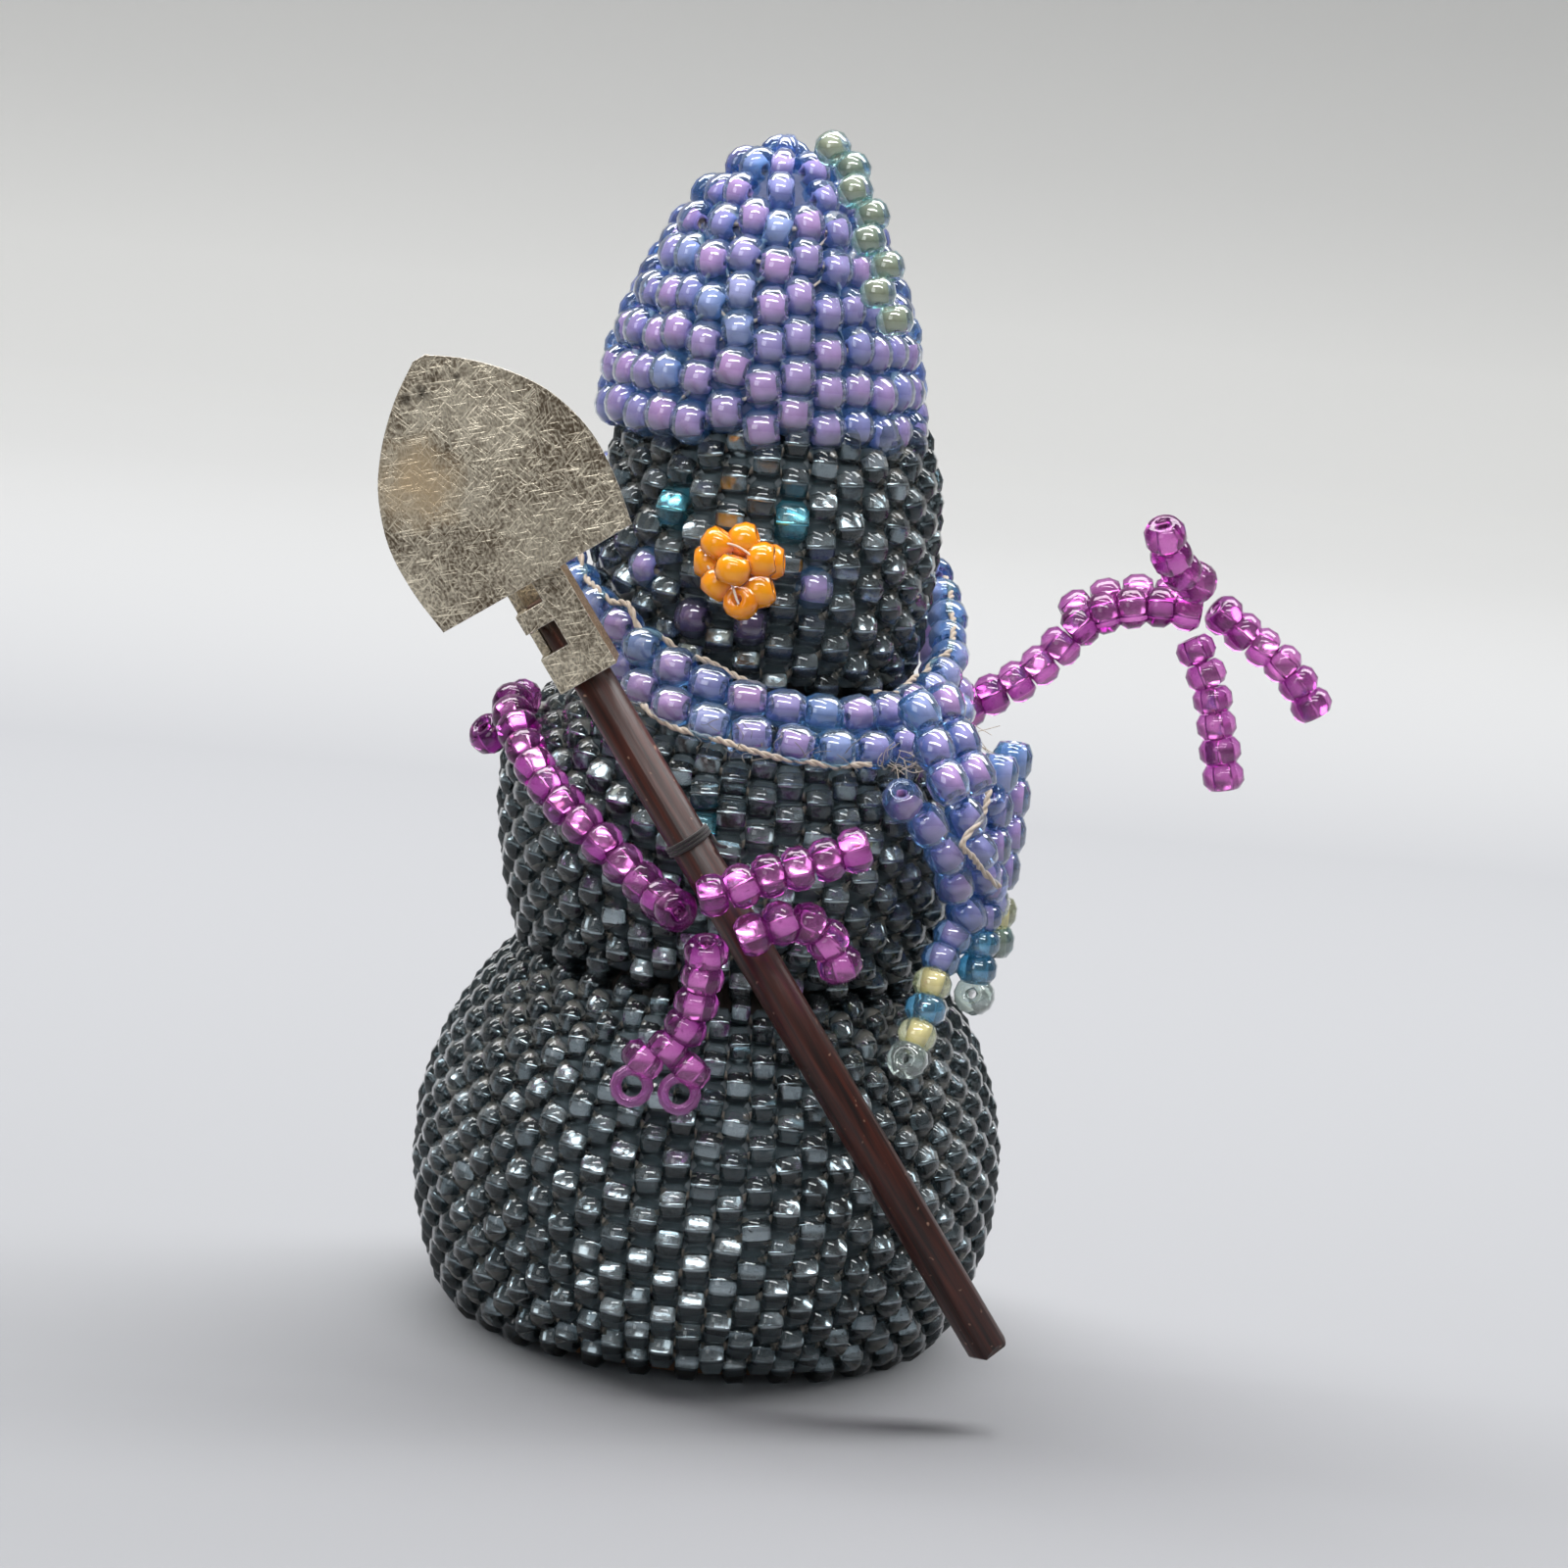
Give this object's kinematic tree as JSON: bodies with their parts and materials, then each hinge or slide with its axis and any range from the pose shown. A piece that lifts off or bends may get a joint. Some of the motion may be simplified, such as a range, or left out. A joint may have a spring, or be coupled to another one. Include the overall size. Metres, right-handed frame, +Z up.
{
  "type": "beaded snowman figure",
  "caption": "Standing snowman figure of woven seed beads on a wooden former, with wired bead arms, a beaded hat and knotted scarf, holding a small metal shovel across its front.",
  "frame": {"origin": "on the floor at the middle of the underside of the base pad", "axes": "+Z up, -Y towards the figure's front, +X towards the figure's left arm"},
  "size_m": [0.0482, 0.0335, 0.0614],
  "materials": {
    "grey_glass": "dark grey transparent seed beads with a silver-lined square hole, glossy",
    "blue_lustre": "blue transparent seed beads lined with pink lilac, lustre gloss",
    "fuchsia_glass": "fuchsia transparent seed beads with a silver-lined hole, glossy",
    "teal_glass": "teal transparent seed beads with a silver-lined hole, glossy",
    "purple_glass": "blue grey to purple transparent seed beads, glossy",
    "orange_glass": "opaque orange seed beads, glossy",
    "green_lustre": "grey green transparent seed beads, silver lined, glossy",
    "fringe_glass": "mixed clear, teal, yellow and purple transparent seed beads, glossy",
    "pewter": "tarnished warm grey sheet metal with fine scratches",
    "stained_wood": "dark red brown stain, satin",
    "plain_wood": "bare turned softwood",
    "leather": "thin smooth hide, matte",
    "steel_wire": "drawn wire",
    "dark_thread": "waxed dark thread"
  },
  "bodies": {
    "figure": {"wood_core": "plain_wood", "base_pad": "leather", "lower_beadwork": "grey_glass", "torso_beadwork": "grey_glass", "head_beadwork": "grey_glass", "shoulder_wire": "steel_wire", "button": "teal_glass", "carrot_nose": "orange_glass", "right_eye": "teal_glass", "left_eye": "teal_glass", "mouth_bead_1": "purple_glass", "mouth_bead_2": "purple_glass", "mouth_bead_3": "purple_glass", "mouth_bead_4": "purple_glass", "hat": "blue_lustre", "scarf_wrap": "blue_lustre", "scarf_knot": "blue_lustre"},
    "right_arm": {"right_arm": "fuchsia_glass", "right_finger_1": "fuchsia_glass", "right_finger_2": "fuchsia_glass", "right_finger_3": "fuchsia_glass", "right_end_bead_1": "fuchsia_glass", "right_end_bead_2": "fuchsia_glass", "grip_tie": "dark_thread"},
    "shovel": {"shovel_blade": "pewter", "shovel_handle": "stained_wood"},
    "left_arm": {"left_arm": "fuchsia_glass", "left_finger_1": "fuchsia_glass", "left_finger_2": "fuchsia_glass", "left_finger_3": "fuchsia_glass"},
    "hat_tassel": {"hat_tassel": "green_lustre"},
    "front_tail": {"scarf_front_tail": "blue_lustre", "front_fringe": "fringe_glass"},
    "back_tail": {"scarf_back_tail": "blue_lustre", "back_fringe_long": "fringe_glass", "back_fringe_short": "fringe_glass"}
  },
  "joints": [
    {"name": "right_arm_swing", "type": "hinge", "parent": "figure", "child": "right_arm", "pos_m": [-0.01159, -0.003, 0.03201], "axis": [0, 0, -1], "range_deg": [0, 35]},
    {"name": "shovel_slide", "type": "slide", "parent": "right_arm", "child": "shovel", "axis": [-0.5821, 0, 0.8131], "range_m": [0, 0.012]},
    {"name": "left_arm_swing", "type": "hinge", "parent": "figure", "child": "left_arm", "pos_m": [0.01098, 0.00184, 0.03291], "axis": [0, -1, 0], "range_deg": [-40, 10]},
    {"name": "hat_tassel_swing", "type": "hinge", "parent": "figure", "child": "hat_tassel", "pos_m": [0.00156, -0.00263, 0.0606], "axis": [-0.7314, -0.682, 0], "range_deg": [0, 60]},
    {"name": "front_tail_swing", "type": "hinge", "parent": "figure", "child": "front_tail", "pos_m": [0.01105, -0.0103, 0.03055], "axis": [-0.682, -0.7314, 0], "range_deg": [0, 35]},
    {"name": "back_tail_swing", "type": "hinge", "parent": "figure", "child": "back_tail", "pos_m": [0.01295, -0.00577, 0.03106], "axis": [-0.4067, -0.9135, 0], "range_deg": [0, 35]}
  ]
}
